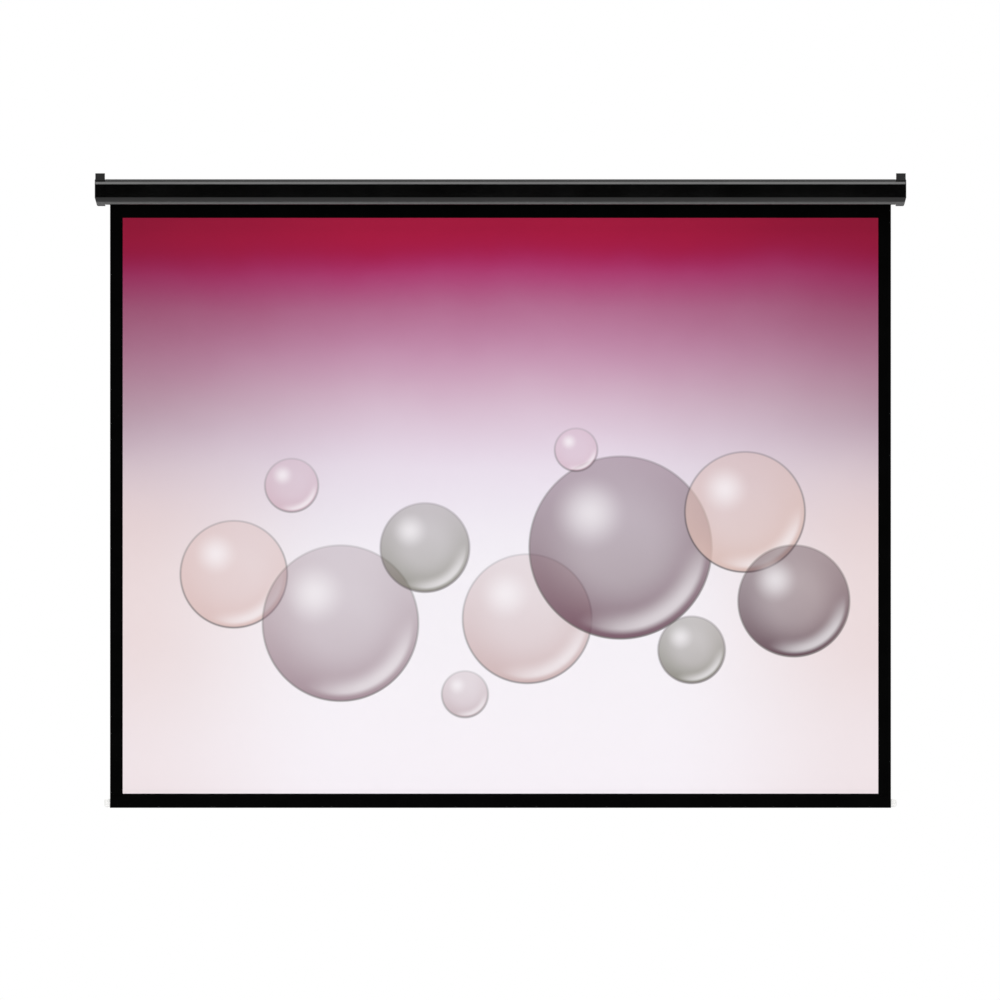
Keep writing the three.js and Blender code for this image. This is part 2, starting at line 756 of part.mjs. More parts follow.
// A pawl drawn round its own pivot: an eye, a tapered arm and a round nose
function pawl(turn) {
  const pivot = polar(pawlPivotRadius, pawlPivotAngle + turn);
  const noseRadius = ratchetTipRadius + pawlLift + pawlNoseRadius;
  const nose = polar(noseRadius, pawlNoseAngle + turn).sub(pivot);
  const bearing = nose.angle();
  const lean = Math.acos((pawlEyeRadius - pawlNoseRadius) / nose.length());
  const points = [];
  for (let step = 0; step <= 2 * arcSteps; step++) {
    const angle = bearing - lean + (2 * lean * step) / (2 * arcSteps);
    const round = new THREE.Vector2(Math.cos(angle), Math.sin(angle)).multiplyScalar(pawlNoseRadius);
    points.push(round.add(nose));
  }
  for (let step = 0; step <= 4 * arcSteps; step++) {
    const angle = bearing + lean + ((2 * Math.PI - 2 * lean) * step) / (4 * arcSteps);
    points.push(new THREE.Vector2(Math.cos(angle), Math.sin(angle)).multiplyScalar(pawlEyeRadius));
  }
  const shape = new THREE.Shape(points);
  shape.holes.push(circlePath(0, 0, postRadius + fit, smallSides));
  return alongX(shape, pawlInner, pawlOuter);
}

function headPlug() {
  const posts = [0, 180].map((turn) => {
    const at = polar(pawlPivotRadius, pawlPivotAngle + turn);
    return rodX(postRadius, flangeFace - plugFlange / 2, pawlOuter + postHeadroom, at.x, at.y);
  });
  const seats = [0, 180].map((turn) => {
    const at = polar(pawlPivotRadius, pawlPivotAngle + turn);
    return rodX(pawlEyeRadius, flangeFace - plugFlange / 2, pawlInner - fit, at.x, at.y);
  });
  const body = turnedX([
    [plugInner, 0],
    [plugInner, tubeBore - fit],
    [tubeEnd + fit, tubeBore - fit],
    [tubeEnd + fit, plugFlangeRadius],
    [flangeFace, plugFlangeRadius],
    [flangeFace, 0],
  ]);
  const bore = rodX(bushRadius + fit, plugInner - overrun, flangeFace + overrun, 0, 0, roundSides);
  return cut(join(body, ...posts, ...seats), bore);
}

function spearBush() {
  return cut(
    rodX(bushRadius, plugInner, ratchetInner - fit, 0, 0, roundSides),
    hexagonX(spearFlats + 2 * fit, plugInner - overrun, ratchetInner + overrun),
  );
}

// The fixed anchor for the spring's outer end, keyed to the spear
function springCollar() {
  const body = turnedX([
    [collarInnerFace, 0],
    [collarInnerFace, collarHubRadius],
    [collarOuterFace - collarFlange, collarHubRadius],
    [collarOuterFace - collarFlange, springRadius + springWire],
    [collarOuterFace, springRadius + springWire],
    [collarOuterFace, 0],
  ]);
  const flange = collarOuterFace - collarFlange;
  return cut(
    body,
    hexagonX(spearFlats + 2 * fit, collarInnerFace - overrun, collarOuterFace + overrun),
    rodX(springTangHole, flange - overrun, collarOuterFace + overrun, springRadius, 0),
  );
}

// The turning anchor for the spring's inner end, fixed in the roller tube
function springPlug() {
  const inner = springPlugFace - springPlugLength;
  return cut(
    rodX(tubeBore - fit, inner, springPlugFace, 0, 0, roundSides),
    rodX(spearCorner + fit, inner - overrun, springPlugFace + overrun, 0, 0, roundSides),
    rodX(springTangHole, springPlugFace - springTang - fit, springPlugFace + overrun, springRadius, 0),
  );
}

// The spring's centre line: a tang into the collar, the turns, and a tang into the plug
function springLine() {
  const steps = springTurns * springStepsPerTurn;
  const points = [new THREE.Vector3(springStart + springTang, springRadius, 0)];
  for (let step = 0; step <= steps; step++) {
    const angle = (2 * Math.PI * step) / springStepsPerTurn;
    const x = springStart - springTang - (springLength * step) / steps;
    points.push(new THREE.Vector3(x, springRadius * Math.cos(angle), springRadius * Math.sin(angle)));
  }
  points.push(new THREE.Vector3(springPlugFace - springTang, springRadius, 0));
  return points;
}

function torsionSpring() {
  const line = springLine();
  let least = Infinity;
  line.forEach((point, i) => {
    line.slice(i + springStepsPerTurn / 2).forEach((other) => {
      least = Math.min(least, point.distanceTo(other) - springWire);
    });
  });
  console.log(`least gap between the spring's turns: ${least.toFixed(2)} mm`);
  return wireAlong(line, springWire / 2, springSides);
}

// Idler, in the end frame and round the roller's axis
const idlerBushFace = socketFace - idlerBushFlange - fit;
const idlerHubEnd = idlerBushFace - idlerPlay - washerThickness - fit;
const idlerPinEnd = socketFace + idlerBushDepth - fit;

function idlerPlug() {
  const body = turnedX([
    [plugInner, 0],
    [plugInner, tubeBore - fit],
    [tubeEnd + fit, tubeBore - fit],
    [tubeEnd + fit, plugFlangeRadius],
    [flangeFace, plugFlangeRadius],
    [flangeFace, idlerHubRadius],
    [idlerHubEnd, idlerHubRadius],
    [idlerHubEnd, 0],
  ]);
  return cut(body, rodX(idlerPinRadius + fit, plugInner - overrun, idlerHubEnd + overrun, 0, 0, roundSides));
}

function idlerPin() {
  return rodX(idlerPinRadius, plugInner, idlerPinEnd, 0, 0, roundSides);
}

function idlerBush() {
  const radius = idlerPinRadius + fit + idlerBushWall;
  const body = turnedX([
    [idlerBushFace, 0],
    [idlerBushFace, radius + idlerBushFlangeWidth],
    [idlerBushFace + idlerBushFlange, radius + idlerBushFlangeWidth],
    [idlerBushFace + idlerBushFlange, radius],
    [socketFace + idlerBushDepth, radius],
    [socketFace + idlerBushDepth, 0],
  ]);
  const bore = rodX(idlerPinRadius + fit, idlerBushFace - overrun, capLength, 0, 0, roundSides);
  return cut(body, bore);
}

function idlerWasher() {
  const from = idlerHubEnd + fit;
  const to = from + washerThickness;
  return cut(
    rodX(idlerPinRadius + washerWidth, from, to, 0, 0, roundSides),
    rodX(idlerPinRadius + fit, from - overrun, to + overrun, 0, 0, roundSides),
  );
}

function rollerTube() {
  return cut(
    rodX(rollerRadius, -rollerHalf, rollerHalf, 0, 0, roundSides),
    rodX(tubeBore, -rollerHalf - overrun, rollerHalf + overrun, 0, 0, roundSides),
  );
}

// The turns left on the tube: a spiral strip that comes over the top and leaves on the wall side
function fabricWraps() {
  const steps = Math.round(restWraps * wrapStepsPerTurn);
  const edge = (offset) =>
    Array.from({ length: steps + 1 }, (_, step) => {
      const turn = restWraps * (step / steps);
      const radius = firstWrapRadius + turn * wrapPitch + offset;
      return polar(radius, 360 * (restWraps - turn));
    });
  const outside = edge(fabricThickness / 2);
  const inside = edge(-fabricThickness / 2).reverse();
  return alongX(new THREE.Shape([...outside, ...inside]), -fabricHalf, fabricHalf);
}

// The hanging fabric: its plies stand one behind the other
const maskFront = sheetY - fabricThickness / 2;
const whiteFront = maskFront + maskPly + bondLine;
const blackFront = whiteFront + whitePly + bondLine;
const sheetBottom = hemTop + fit;
const sheetTop = -fit;

function fullPly(front, thickness) {
  return block(-fabricHalf, fabricHalf, front, front + thickness, sheetBottom, sheetTop);
}

function blackMask() {
  const half = pictureWidth / 2;
  const shape = outline([
    [-fabricHalf, sheetBottom],
    [-half, sheetBottom],
    [-half, pictureTop],
    [half, pictureTop],
    [half, sheetBottom],
    [fabricHalf, sheetBottom],
    [fabricHalf, sheetTop],
    [-fabricHalf, sheetTop],
  ]);
  return alongY(shape, maskFront, maskFront + maskPly);
}

// Bottom bar: a flat oval tube lying in the hem's loop
const hemInner = hemBottom + fabricThickness; // the loop's lowest inside point
const barBottom = hemInner + fit;
const barTop = barBottom + barHeight;
const loopHalf = barDepth / 2 + fit;

function barOval(shrink) {
  const halfDepth = barDepth / 2 - shrink;
  const bottom = barBottom + shrink;
  const top = barTop - shrink;
  return rectangle(sheetY - halfDepth, sheetY + halfDepth, bottom, top, halfDepth - sharpest);
}

function bottomBar() {
  return cut(
    alongX(outline(barOval(0)), -fabricHalf, fabricHalf),
    alongX(outline(barOval(barWall)), -fabricHalf - overrun, fabricHalf + overrun),
  );
}

// The hem: the fabric's end folded round the bar and welded to itself above it
function hemPocket() {
  const weldBottom = hemTop - hemWeldHeight;
  const shoulderZ = Math.max(weldBottom - hemShoulder, barTop + fit);
  const loop = (grow, top) => [
    [sheetY - grow, top],
    [sheetY - loopHalf - grow, shoulderZ, bevelRadius],
    [sheetY - loopHalf - grow, hemInner - grow, loopHalf + grow - sharpest],
    [sheetY + loopHalf + grow, hemInner - grow, loopHalf + grow - sharpest],
    [sheetY + loopHalf + grow, shoulderZ, bevelRadius],
    [sheetY + grow, top],
  ];
  const weld = [
    [sheetY + fabricThickness, hemTop],
    [sheetY - fabricThickness, hemTop],
  ];
  const outside = outline([...loop(fabricThickness, weldBottom), ...weld]);
  outside.holes.push(new THREE.Path(roundedPoints(loop(0, weldBottom).slice(0, -1))));
  return alongX(outside, -fabricHalf, fabricHalf);
}

// A bar end cap, drawn for the right-hand end
function barCap() {
  const from = fabricHalf + fit;
  const to = from + barCapLength;
  const head = outline([
    [from, barBottom],
    [to, barBottom, barCapToeRadius],
    [to, barTop, barCapEdgeRadius],
    [from, barTop],
  ]);
  const round = common(
    alongY(head, sheetY - barDepth, sheetY + barDepth),
    alongX(outline(barOval(barCapLip)), from, to),
  );
  const spigot = alongX(outline(barOval(barWall + fit)), from - barCapSpigot, from + barCapLength / 2);
  return join(round, spigot);
}

// The object: the case and what stands still, then the roller, the pawls and the bottom bar
function piece(name, geometry, finish) {
  const mesh = new THREE.Mesh(geometry, new THREE.MeshStandardMaterial(finish));
  mesh.name = name;
  return mesh;
}

function endFrame(side) {
  const frame = new THREE.Group();
  frame.position.x = side * caseHalf;
  frame.scale.x = side;
  return frame;
}

function onAxis(...pieces) {
  pieces.forEach((mesh) => mesh.position.setY(axisY));
  return pieces;
}

function endAssembly(side, word, socket) {
  const frame = endFrame(side);
  frame.add(piece(`end_cap_${word}`, endCap(socket), blackPlastic));
  frame.add(piece(`hanger_${word}`, hanger(), greyStrap));
  screwPorts().forEach(({ y, z }, i) => {
    const length = capLength - screwSeatDepth + capScrewGrip;
    const screw = panScrew(capScrewRadius, capScrewHeadRadius, capScrewHeadHeight, length);
    const mesh = piece(`cap_screw_${word}_${i + 1}`, screw, zincSteel);
    mesh.position.set(capLength - screwSeatDepth + fit, y, z);
    frame.add(mesh);
  });
  const tailScrew = countersink(
    hangerScrewRadius,
    hangerScrewHeadRadius,
    hangerScrewHeadHeight,
    hangerScrewLength,
  );
  const tail = piece(`wall_flange_screw_${word}`, tailScrew, zincSteel);
  tail.rotation.z = Math.PI / 2;
  tail.position.set(hangerMiddle, 0, tailScrewZ);
  const footScrew = panScrew(
    hangerScrewRadius,
    hangerScrewHeadRadius,
    hangerScrewHeadHeight,
    hangerScrewLength,
  );
  const foot = piece(`foot_screw_${word}`, footScrew, zincSteel);
  foot.rotation.y = -Math.PI / 2;
  foot.position.set(hangerMiddle, footScrewY, hangerSeat + hangerSteel + fit);
  frame.add(tail, foot);
  return frame;
}

const screen = new THREE.Group();
screen.add(piece('case_shell', caseShell(), blackPaint));
screen.add(endAssembly(-1, 'left', tongueSlot()));
screen.add(endAssembly(1, 'right', bushSeat()));

const lockingHead = endFrame(-1);
lockingHead.add(
  ...onAxis(
    piece('spear_shaft', spearShaft(), zincSteel),
    piece('ratchet_wheel', ratchetWheel(), zincSteel),
    piece('spear_bush', spearBush(), nylon),
    piece('spring_collar', springCollar(), blackPlastic),
    piece('torsion_spring', torsionSpring(), springSteel),
    piece('head_plug', headPlug(), blackPlastic),
    piece('spring_plug', springPlug(), nylon),
  ),
);
[
  ['pawl_upper', 0],
  ['pawl_lower', 180],
].forEach(([name, turn]) => {
  const pivot = polar(pawlPivotRadius, pawlPivotAngle + turn);
  const mesh = piece(name, pawl(turn), zincSteel);
  mesh.position.set(0, axisY + pivot.x, pivot.y);
  lockingHead.add(mesh);
});
screen.add(lockingHead);

const idler = endFrame(1);
idler.add(
  ...onAxis(
    piece('idler_plug', idlerPlug(), blackPlastic),
    piece('idler_pin', idlerPin(), zincSteel),
    piece('idler_bush', idlerBush(), nylon),
    piece('idler_washer', idlerWasher(), zincSteel),
  ),
);
screen.add(idler);

screen.add(
  ...onAxis(
    piece('roller_tube', rollerTube(), millAluminium),
    piece('fabric_wraps', fabricWraps(), blackCloth),
  ),
);

screen.add(piece('black_mask', blackMask(), blackCloth));
screen.add(piece('white_fabric', fullPly(whiteFront, whitePly), whiteCloth));
screen.add(piece('black_backing', fullPly(blackFront, blackPly), blackCloth));

screen.add(piece('bottom_bar', bottomBar(), millAluminium));
screen.add(piece('hem_pocket', hemPocket(), blackCloth));
[
  ['bar_cap_right', 1],
  ['bar_cap_left', -1],
].forEach(([name, side]) => {
  const mesh = piece(name, barCap(), whitePlastic);
  mesh.scale.x = side;
  screen.add(mesh);
});

export default screen;
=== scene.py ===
import json
import math

import bmesh
import bpy
import numpy as np
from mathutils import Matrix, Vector

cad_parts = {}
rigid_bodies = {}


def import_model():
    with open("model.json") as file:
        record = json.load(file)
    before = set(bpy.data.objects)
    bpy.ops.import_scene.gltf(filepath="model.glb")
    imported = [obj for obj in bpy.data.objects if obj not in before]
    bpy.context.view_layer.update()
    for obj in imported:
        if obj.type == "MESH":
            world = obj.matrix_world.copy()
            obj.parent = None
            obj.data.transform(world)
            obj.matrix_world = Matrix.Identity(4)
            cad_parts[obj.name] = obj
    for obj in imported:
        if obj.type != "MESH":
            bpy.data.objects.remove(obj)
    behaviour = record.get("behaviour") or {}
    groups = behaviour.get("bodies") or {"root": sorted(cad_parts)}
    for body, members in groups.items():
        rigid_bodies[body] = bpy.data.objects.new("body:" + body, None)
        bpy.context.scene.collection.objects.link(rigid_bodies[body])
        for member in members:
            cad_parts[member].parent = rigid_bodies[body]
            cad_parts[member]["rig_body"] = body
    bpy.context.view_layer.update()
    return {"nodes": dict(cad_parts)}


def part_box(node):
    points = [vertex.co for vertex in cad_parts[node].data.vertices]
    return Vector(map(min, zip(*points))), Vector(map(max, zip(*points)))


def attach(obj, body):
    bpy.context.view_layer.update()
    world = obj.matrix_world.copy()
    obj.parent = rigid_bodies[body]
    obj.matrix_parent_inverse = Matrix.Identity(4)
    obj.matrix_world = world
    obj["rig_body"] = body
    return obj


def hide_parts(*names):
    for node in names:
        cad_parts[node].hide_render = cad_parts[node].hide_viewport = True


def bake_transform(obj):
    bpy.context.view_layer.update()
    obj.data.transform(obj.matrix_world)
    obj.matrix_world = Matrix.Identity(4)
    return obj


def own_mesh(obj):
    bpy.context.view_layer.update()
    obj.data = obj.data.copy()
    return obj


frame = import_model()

mm = 0.001
print("frame loaded,", len(frame["nodes"]), "nodes")


# Small tools for meshes

def gridQuads(rows, columns, closed=False):
    # every cell of a rows x columns grid of points; closed joins the last column to the first
    across = columns if closed else columns - 1
    r, c = np.meshgrid(np.arange(rows - 1), np.arange(across), indexing="ij")
    following = (c + 1) % columns
    cell = [r * columns + c, r * columns + following, (r + 1) * columns + following, (r + 1) * columns + c]
    return np.stack(cell, axis=-1).reshape(-1, 4)


def addPiece(name, points, quads, material, ends=(), surface=None, sharpAngle=35):
    # points (n, 3) and quads (m, 4) become one mesh; ends are flat faces that close a tube
    mesh = bpy.data.meshes.new(name)
    mesh.from_pydata(points.tolist(), [], quads.tolist() + [list(map(int, end)) for end in ends])
    if surface is not None:
        corners = np.empty(len(mesh.loops), np.int32)
        mesh.loops.foreach_get("vertex_index", corners)
        layer = mesh.uv_layers.new(name="surface")
        layer.data.foreach_set("uv", surface[corners].astype(np.float32).ravel())
    mesh.shade_smooth()
    mesh.set_sharp_from_angle(angle=math.radians(sharpAngle))
    mesh.materials.append(material)
    made = bpy.data.objects.new(name, mesh)
    bpy.context.scene.collection.objects.link(made)
    return made


def addCloth(name, middle, thickness, material, surface):
    # a middle surface (rows, columns, 3) given two faces half a thickness along its normal, and an edge all round
    rows, columns = middle.shape[:2]
    normal = np.cross(np.gradient(middle, axis=1), np.gradient(middle, axis=0))
    normal /= np.linalg.norm(normal, axis=2)[:, :, None]
    front = (middle + normal * thickness / 2).reshape(-1, 3)
    back = (middle - normal * thickness / 2).reshape(-1, 3)
    quads = gridQuads(rows, columns)
    index = np.arange(rows * columns).reshape(rows, columns)
    around = np.concatenate([index[0, :-1], index[:-1, -1], index[-1, :0:-1], index[:0:-1, 0]])
    after = np.roll(around, -1)
    edge = np.stack([around, around + rows * columns, after + rows * columns, after], axis=-1)
    faces = np.concatenate([quads, quads[:, ::-1] + rows * columns, edge])
    uv = surface.reshape(-1, 2)
    return addPiece(name, np.concatenate([front, back]), faces, material, surface=np.concatenate([uv, uv]))


def arcAt(before, corner, after, radius, step):
    # corner rounded by an arc of that radius: centre + radius (cos a, sin a), a from tangent to tangent
    corner, before, after = (np.array(p[:2], float) for p in (corner, before, after))
    back = (before - corner) / np.linalg.norm(before - corner)
    ahead = (after - corner) / np.linalg.norm(after - corner)
    half = math.acos(np.clip(back @ ahead, -1, 1)) / 2
    if radius <= 0 or half > math.radians(89.5):
        return corner[None, :]  # left sharp, or straight on
    middle = (back + ahead) / np.linalg.norm(back + ahead)
    centre = corner + middle * radius / math.sin(half)
    start = corner + back * radius / math.tan(half) - centre
    end = corner + ahead * radius / math.tan(half) - centre
    turn = math.atan2(start[0] * end[1] - start[1] * end[0], start @ end)
    a = math.atan2(start[1], start[0]) + np.linspace(0, turn, max(3, math.ceil(abs(turn) / math.radians(step)) + 1))
    return centre + radius * np.stack([np.cos(a), np.sin(a)], axis=-1)


def roundedLine(corners, closed, step):
    # a line of (y, z, radius) corners with each corner turned into its arc, a point every step degrees
    count = len(corners)
    arcs = []
    for i, corner in enumerate(corners):
        if not closed and i in (0, count - 1):
            arcs.append(np.array([corner[:2]], float))
        else:
            arcs.append(arcAt(corners[i - 1], corner, corners[(i + 1) % count], corner[2], step))
    return np.concatenate(arcs)


def insetCorners(corners, distance):
    # every edge of a closed outline moved inwards, and the corners where the moved edges meet
    p = np.array([c[:2] for c in corners], float)
    along = np.roll(p, -1, axis=0) - p
    along /= np.linalg.norm(along, axis=1)[:, None]
    area = np.sum(p[:, 0] * np.roll(p[:, 1], -1) - np.roll(p[:, 0], -1) * p[:, 1])
    inward = np.stack([-along[:, 1], along[:, 0]], axis=-1) * np.sign(area)
    moved = p + inward * distance
    before, beforeAlong = np.roll(moved, 1, axis=0), np.roll(along, 1, axis=0)
    cross = beforeAlong[:, 0] * along[:, 1] - beforeAlong[:, 1] * along[:, 0]
    gap = moved - before
    reach = (gap[:, 0] * along[:, 1] - gap[:, 1] * along[:, 0]) / cross
    q = before + beforeAlong * reach[:, None]
    radii = [max(c[2] - distance, 0.1) if c[2] else 0 for c in corners]
    return [(float(y), float(z), r) for (y, z), r in zip(q, radii)]


def alongX(outline, stations):
    # the outline (y, z) repeated at each x: point (i, j) = (stations i, outline j)
    x = np.repeat(np.asarray(stations, float), len(outline))
    yz = np.tile(outline, (len(stations), 1))
    return np.concatenate([x[:, None], yz], axis=1)


# Small tools for materials

def linear(red, green, blue):
    # a colour as seen, 0 to 255, in the linear values that the shaders work with
    seen = np.array([red, green, blue]) / 255
    return (*np.where(seen <= 0.04045, seen / 12.92, ((seen + 0.055) / 1.055) ** 2.4).tolist(), 1)


def addNode(tree, kind, inputs=None, **settings):
    made = tree.nodes.new(kind)
    for label, value in settings.items():
        setattr(made, label, value)
    for label, value in (inputs or {}).items():
        if isinstance(value, bpy.types.NodeSocket):
            tree.links.new(value, made.inputs[label])
        else:
            made.inputs[label].default_value = value
    return made


def newMaterial(name, **sockets):
    material = bpy.data.materials.new(name)
    material.use_nodes = True
    tree = material.node_tree
    shader = tree.nodes["Principled BSDF"]
    for label, value in sockets.items():
        shader.inputs[label].default_value = value
    return material, tree, shader


def coordinates(tree, surface=False, stretch=(1, 1, 1)):
    # metres in the frame, or along the cloth where the pattern follows it
    if surface:
        place = addNode(tree, "ShaderNodeUVMap", uv_map="surface").outputs["UV"]
    else:
        place = addNode(tree, "ShaderNodeTexCoord").outputs["Object"]
    return addNode(tree, "ShaderNodeMapping", {"Vector": place, "Scale": stretch}).outputs["Vector"]


def noise(tree, place, scale, detail=3, roughness=0.55):
    return addNode(tree, "ShaderNodeTexNoise", {
        "Vector": place, "Scale": scale, "Detail": detail, "Roughness": roughness}).outputs["Fac"]


def fit(tree, value, low, high, fromLow=0.3, fromHigh=0.7, smooth=False):
    # low to high while the value goes from fromLow to fromHigh, which by default is the span of a noise
    return addNode(tree, "ShaderNodeMapRange", {
        "Value": value, "From Min": fromLow, "From Max": fromHigh, "To Min": low, "To Max": high},
        interpolation_type="SMOOTHSTEP" if smooth else "LINEAR").outputs["Result"]


def calculate(tree, operation, *values):
    return addNode(tree, "ShaderNodeMath", dict(enumerate(values)), operation=operation).outputs[0]


def mixColours(tree, factor, first, second):
    mixed = {0: factor, 6: first, 7: second}  # the colour sockets of a Mix node are its seventh and eighth
    return addNode(tree, "ShaderNodeMix", mixed, data_type="RGBA").outputs[2]


def vectorStep(tree, operation, output, inputs):
    # one sum on vectors, with the output by name because some give a vector and some a value
    return addNode(tree, "ShaderNodeVectorMath", inputs, operation=operation).outputs[output]


def bump(tree, shader, height, distance, strength=1.0):
    made = addNode(tree, "ShaderNodeBump", {"Height": height, "Distance": distance, "Strength": strength})
    tree.links.new(made.outputs["Normal"], shader.inputs["Normal"])


# Finishes

powderCoat = {
    "grain": 1400, "depth": 0.012 * mm, "dark": (0.0002, 0.0002, 0.0002, 1), "light": (0.0006, 0.0006, 0.0006, 1),
    "gloss": (0.20, 0.25), "level": 0.5, "patches": (9, 4),
}
mouldedBlack = {**powderCoat, "grain": 2600, "depth": 0.008 * mm}
greyStrap = {
    **powderCoat, "grain": 1800, "depth": 0.03 * mm, "dark": linear(38, 38, 38), "light": linear(46, 46, 46),
    "gloss": (0.5, 0.6), "level": 0.2,
}


def paintMaterial(name, look):
    # powder coat: a fine orange peel, and a gloss that changes a little along the part
    material, tree, shader = newMaterial(name, **{"Specular IOR Level": look["level"]})
    place = coordinates(tree)
    grain = noise(tree, place, look["grain"], 2)
    patches = noise(tree, place, *look["patches"])
    colour = mixColours(tree, fit(tree, patches, 0, 1), look["dark"], look["light"])
    tree.links.new(colour, shader.inputs["Base Color"])
    tree.links.new(fit(tree, patches, *look["gloss"]), shader.inputs["Roughness"])
    bump(tree, shader, grain, look["depth"])
    return material


casePaint = paintMaterial("case powder coat", powderCoat)
capPlastic = paintMaterial("moulded black plastic", mouldedBlack)
strapPaint = paintMaterial("grey strap paint", greyStrap)


bareMetal = {"streaks": (4, 0.6), "streakShare": 0.6, "clouds": (40, 3), "depth": 0.01 * mm}


def metalMaterial(name, dark, light, gloss, stretch=(1, 1, 1), scale=260):
    # bare metal: streaks or grains that the stretch draws out, in the colour, the gloss and the relief
    material, tree, shader = newMaterial(name, Metallic=1.0)
    streaks = noise(tree, coordinates(tree, stretch=stretch), scale, *bareMetal["streaks"])
    clouds = noise(tree, coordinates(tree), *bareMetal["clouds"])
    share = bareMetal["streakShare"]
    shade = calculate(tree, "MULTIPLY_ADD", streaks, share, calculate(tree, "MULTIPLY", clouds, 1 - share))
    tree.links.new(mixColours(tree, fit(tree, shade, 0, 1), dark, light), shader.inputs["Base Color"])
    tree.links.new(fit(tree, shade, *gloss), shader.inputs["Roughness"])
    bump(tree, shader, streaks, bareMetal["depth"])
    return material


zincPlate = metalMaterial("zinc plated steel", linear(172, 176, 180), linear(204, 206, 208), (0.28, 0.42))
springSteel = metalMaterial("spring steel", linear(92, 94, 98), linear(124, 126, 130), (0.25, 0.4), scale=500)
millAluminium = metalMaterial(
    "mill aluminium", linear(186, 188, 190), linear(208, 209, 211), (0.3, 0.42), stretch=(0.02, 1, 1), scale=900)


moulded = {"clouds": (60, 3), "grain": (1500, 2), "depth": 0.01 * mm}


def plasticMaterial(name, dark, light, gloss):
    # moulded plastic: a faint cloudy colour and a fine eroded grain
    material, tree, shader = newMaterial(name)
    place = coordinates(tree)
    clouds = noise(tree, place, *moulded["clouds"])
    tree.links.new(mixColours(tree, fit(tree, clouds, 0, 1), dark, light), shader.inputs["Base Color"])
    tree.links.new(fit(tree, clouds, *gloss), shader.inputs["Roughness"])
    bump(tree, shader, noise(tree, place, *moulded["grain"]), moulded["depth"])
    return material


nylon = plasticMaterial("natural nylon", linear(214, 208, 192), linear(226, 221, 208), (0.4, 0.5))
whitePlastic = plasticMaterial("white plastic", linear(238, 238, 236), linear(246, 246, 244), (0.38, 0.46))

weave = {"pitch": 0.55 * mm, "depth": 0.04 * mm, "clouds": (14, 4)}


def weaveHeight(tree, place):
    # threads both ways: the product of two rounded waves, each one pitch long
    scale = 2 * math.pi / 20 / weave["pitch"]  # a band is 2 pi / 20 wide at a scale of 1
    threads = [
        addNode(tree, "ShaderNodeTexWave", {"Vector": place, "Scale": scale, "Distortion": 0.0},
                wave_type="BANDS", bands_direction=direction).outputs["Fac"]
        for direction in ("X", "Y")
    ]
    return calculate(tree, "MULTIPLY", *threads)


def clothMaterial(name, dark, light, level):
    # woven cloth between two near tones, with its weave as relief
    dark, light = (dark, dark, dark, 1), (light, light, light, 1)
    material, tree, shader = newMaterial(name, Roughness=0.9, **{"Specular IOR Level": level})
    place = coordinates(tree, surface=True)
    clouds = noise(tree, place, *weave["clouds"])
    tree.links.new(mixColours(tree, fit(tree, clouds, 0, 1), dark, light), shader.inputs["Base Color"])
    bump(tree, shader, weaveHeight(tree, place), weave["depth"])
    return material


blackCloth = clothMaterial("black border cloth", 0.0007, 0.0014, 0.02)
backingCloth = clothMaterial("black backing cloth", 0.0040, 0.0062, 0.1)

# The picture that stands on the cloth: a wash of colour from crimson to white with glassy discs on it
picture = {
    "top": -0.05824, "bottom": -1.35374, "half": 0.85, "edge": 0.0005, "cloth": (236, 236, 233),
    "clouds": (2.2, 3), "cloudShift": 0.05,  # scale and detail of the clouds, and how far they shift the wash
    "wash": [
        # the first stop is lighter than the crimson just below it: painted light that evens out the shade the case
        # casts on the top of the cloth
        (0.000, (184, 32, 70)), (0.055, (157, 14, 57)), (0.100, (168, 51, 110)), (0.160, (172, 103, 138)),
        (0.240, (193, 141, 172)), (0.330, (213, 188, 205)), (0.430, (232, 222, 236)), (0.600, (244, 242, 246)),
        (1.000, (251, 245, 251)),
    ],
    # the colours that come in towards the sides, and their ramps: low, high, from and to
    "dusk": (108, 16, 40), "duskAcross": (0, 0.5, 0.1, 1.1), "duskDown": (1, 0, 0.3, 0.7),
    "sides": (228, 203, 200), "sidesAcross": (0, 0.6, 0.35, 0.85),
    "sidesBegin": (0, 1, 0.35, 0.55), "sidesEnd": (1, 0.6, 0.7, 0.95),
    "discs": [  # x, z, radius, colour, strength at the top and at the bottom
        (-0.60, -0.86, 0.120, (216, 186, 182), 0.40, 0.85),
        (-0.36, -0.97, 0.175, (146, 116, 128), 0.35, 0.85),
        (-0.47, -0.66, 0.060, (198, 158, 174), 0.25, 0.65),
        (-0.17, -0.80, 0.100, (112, 110, 92), 0.40, 0.80),
        (0.06, -0.96, 0.145, (196, 164, 162), 0.30, 0.80),
        (0.27, -0.80, 0.205, (112, 76, 92), 0.50, 0.95),
        (0.43, -1.03, 0.075, (112, 110, 92), 0.45, 0.85),
        (0.55, -0.72, 0.135, (214, 184, 176), 0.45, 0.90),
        (0.66, -0.92, 0.125, (92, 62, 74), 0.55, 0.95),
        (0.17, -0.58, 0.048, (206, 170, 186), 0.25, 0.65),
        (-0.08, -1.13, 0.052, (178, 150, 156), 0.30, 0.70),
    ],
    "rim": (92, 84, 84), "rimWidth": 0.004, "rimStrength": 0.9, "soft": 0.002, "body": (0.75, 1, 0.3, 1),
    "light": (252, 249, 252), "glint": (-0.34, 0.38, 0), "glintFade": (0.6, 0, 0, 0.45),
    "crescent": (0.55, -0.83, 0), "crescentInner": (0, 1, 0.62, 0.86), "crescentOuter": (1, 0, 0.88, 0.97),
    "crescentFade": (0, 0.6, 0.35, 0.9),
}


def ramped(tree, value, ramp):
    return fit(tree, value, *ramp, smooth=True)


